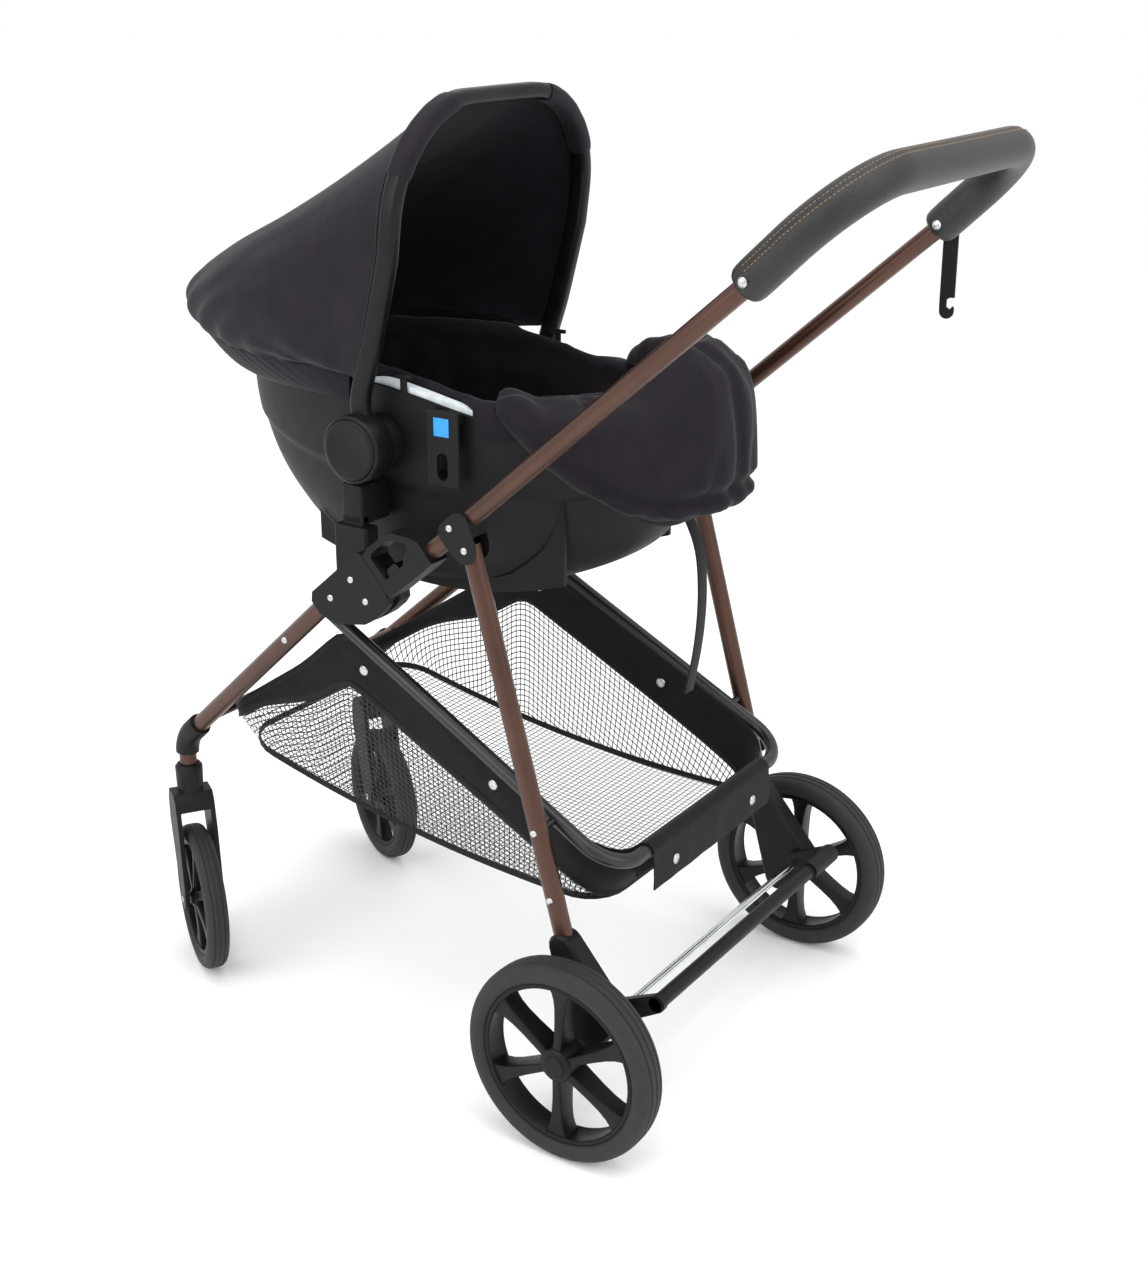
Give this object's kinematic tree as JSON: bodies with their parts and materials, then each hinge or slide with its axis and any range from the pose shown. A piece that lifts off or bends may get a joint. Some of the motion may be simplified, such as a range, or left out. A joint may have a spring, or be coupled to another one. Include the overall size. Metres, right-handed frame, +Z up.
{
  "type": "travel system stroller",
  "caption": "Folding pushchair frame with swivel front casters, under-seat basket, leatherette push handle and a clip-on infant car seat with hood, carry handle and harness.",
  "frame": {"origin": "centre of the object's bounding box, on the floor under the wheels", "axes": "+Z up, -Y towards the front casters, +Y towards the push handle, +X towards the side nearest the camera"},
  "size_m": [0.585, 0.9712, 1.081],
  "materials": {
    "black_tube": "satin black paint on aluminium tube",
    "painted_tube": "satin bronze-brown paint on aluminium tube",
    "black_plastic": "fine-grained black moulding",
    "grip_leather": "black leatherette with tan double stitching",
    "steel": "plated steel",
    "tyre_rubber": "matt foamed rubber",
    "charcoal_fabric": "smooth woven charcoal cloth",
    "basket_net": "black cloth and open square net",
    "white_foam": "expanded polystyrene beads",
    "webbing": "black woven webbing",
    "red_button": "red moulding"
  },
  "bodies": {
    "front_frame": {"front_leg_near": "painted_tube", "front_leg_far": "painted_tube", "leg_elbow_near": "black_plastic", "leg_elbow_far": "black_plastic", "side_plate_near": "black_plastic", "side_plate_far": "black_plastic", "seat_adapter_near": "black_plastic", "seat_adapter_far": "black_plastic", "front_cross_bar": "painted_tube", "basket_bag": "basket_net"},
    "handle": {"handle_tube": "painted_tube", "handle_grip": "grip_leather", "grip_screw_near": "steel", "grip_screw_far": "steel", "hook_bolt": "steel", "fold_knuckle_near": "black_plastic", "fold_knuckle_far": "black_plastic", "leg_bracket_near": "black_plastic", "leg_bracket_far": "black_plastic"},
    "trigger_near": {"release_trigger_near": "black_plastic"},
    "trigger_far": {"release_trigger_far": "black_plastic"},
    "hook": {"transport_hook": "black_plastic"},
    "rear_frame": {"rear_leg_near": "painted_tube", "rear_leg_far": "painted_tube", "rear_foot_near": "black_plastic", "rear_foot_far": "black_plastic", "rear_axle": "steel", "hook_knob": "black_plastic"},
    "brake": {"brake_bar": "black_plastic"},
    "rear_wheel_near": {"rear_tyre_near": "tyre_rubber", "rear_rim_near": "black_plastic"},
    "rear_wheel_far": {"rear_tyre_far": "tyre_rubber", "rear_rim_far": "black_plastic"},
    "caster_near": {"caster_fork_near": "black_plastic", "front_axle_near": "steel"},
    "caster_far": {"caster_fork_far": "black_plastic", "front_axle_far": "steel"},
    "front_wheel_near": {"front_tyre_near": "tyre_rubber", "front_rim_near": "black_plastic"},
    "front_wheel_far": {"front_tyre_far": "tyre_rubber", "front_rim_far": "black_plastic"},
    "basket": {"basket_frame": "black_tube"},
    "car_seat": {"seat_shell": "black_plastic", "foam_liner": "white_foam", "seat_cover": "charcoal_fabric", "body_insert": "charcoal_fabric", "foot_apron": "charcoal_fabric", "harness": "webbing", "buckle": "black_plastic", "belt_guide_near": "black_plastic", "belt_guide_far": "black_plastic", "adjuster_strap": "webbing"},
    "carry_bow": {"carry_handle": "black_plastic", "canopy_sleeve_near": "charcoal_fabric", "canopy_sleeve_far": "charcoal_fabric", "canopy": "charcoal_fabric"},
    "hub_button_near": {"hub_button_near": "black_plastic"},
    "hub_button_far": {"hub_button_far": "black_plastic"},
    "buckle_button": {"buckle_button": "red_button"}
  },
  "joints": [
    {"name": "frame_fold", "type": "hinge", "parent": "front_frame", "child": "handle", "pos_m": [0, -0.0745, 0.556], "axis": [1, 0, 0], "range_deg": [-90, 0]},
    {"name": "rear_leg_fold", "type": "hinge", "parent": "handle", "child": "rear_frame", "pos_m": [0, 0.06074, 0.64202], "axis": [1, 0, 0], "range_deg": [0, 45]},
    {"name": "basket_fold", "type": "hinge", "parent": "front_frame", "child": "basket", "pos_m": [0, -0.17532, 0.51495], "axis": [1, 0, 0], "range_deg": [-58, 0], "deforming": ["basket_bag"]},
    {"name": "caster_swivel_near", "type": "hinge", "parent": "front_frame", "child": "caster_near", "pos_m": [0.179, -0.4175, 0.24], "axis": [0, 0, 1], "continuous": true},
    {"name": "front_wheel_spin_near", "type": "hinge", "parent": "caster_near", "child": "front_wheel_near", "pos_m": [0.19254, -0.39649, 0.092], "axis": [0.8406, -0.5417, 0], "continuous": true},
    {"name": "rear_wheel_spin_near", "type": "hinge", "parent": "rear_frame", "child": "rear_wheel_near", "pos_m": [0.2735, 0.2065, 0.115], "axis": [1, 0, 0], "continuous": true},
    {"name": "caster_swivel_far", "type": "hinge", "parent": "front_frame", "child": "caster_far", "pos_m": [-0.179, -0.4175, 0.24], "axis": [0, 0, 1], "continuous": true},
    {"name": "front_wheel_spin_far", "type": "hinge", "parent": "caster_far", "child": "front_wheel_far", "pos_m": [-0.16757, -0.39526, 0.092], "axis": [0.8894, -0.4571, 0], "continuous": true},
    {"name": "rear_wheel_spin_far", "type": "hinge", "parent": "rear_frame", "child": "rear_wheel_far", "pos_m": [-0.2735, 0.2065, 0.115], "axis": [1, 0, 0], "continuous": true},
    {"name": "brake_press", "type": "hinge", "parent": "rear_frame", "child": "brake", "pos_m": [0, 0.2375, 0.15], "axis": [-1, 0, 0], "range_deg": [0, 18]},
    {"name": "release_trigger_near", "type": "slide", "parent": "handle", "child": "trigger_near", "axis": [0, 0.7547, 0.6561], "range_m": [0, 0.008], "stiffness_N_per_m": 800, "springref_m": -0.001},
    {"name": "release_trigger_far", "type": "slide", "parent": "handle", "child": "trigger_far", "axis": [0, 0.7547, 0.6561], "range_m": [0, 0.008], "stiffness_N_per_m": 800, "springref_m": -0.001},
    {"name": "hook_swing", "type": "hinge", "parent": "handle", "child": "hook", "pos_m": [-0.237, 0.3705, 0.9435], "axis": [1, 0, 0], "range_deg": [-120, 60]},
    {"name": "seat_lift", "type": "slide", "parent": "front_frame", "child": "car_seat", "axis": [0, 0, 1], "range_m": [0, 0.09]},
    {"name": "carry_handle_swing", "type": "hinge", "parent": "car_seat", "child": "carry_bow", "pos_m": [0, -0.1155, 0.714], "axis": [1, 0, 0], "range_deg": [0, 60], "deforming": ["canopy"]},
    {"name": "hub_button_press_near", "type": "slide", "parent": "carry_bow", "child": "hub_button_near", "axis": [-1, 0, 0], "range_m": [0, 0.004], "stiffness_N_per_m": 900, "springref_m": -0.001},
    {"name": "hub_button_press_far", "type": "slide", "parent": "carry_bow", "child": "hub_button_far", "axis": [1, 0, 0], "range_m": [0, 0.004], "stiffness_N_per_m": 900, "springref_m": -0.001},
    {"name": "buckle_button_press", "type": "slide", "parent": "car_seat", "child": "buckle_button", "axis": [0, 0, -1], "range_m": [0, 0.003], "stiffness_N_per_m": 900, "springref_m": -0.001}
  ],
  "couplings": [
    {"joint": "rear_leg_fold", "follows": "frame_fold", "ratio": -0.4874},
    {"joint": "basket_fold", "follows": "frame_fold", "ratio": 0.6355}
  ]
}
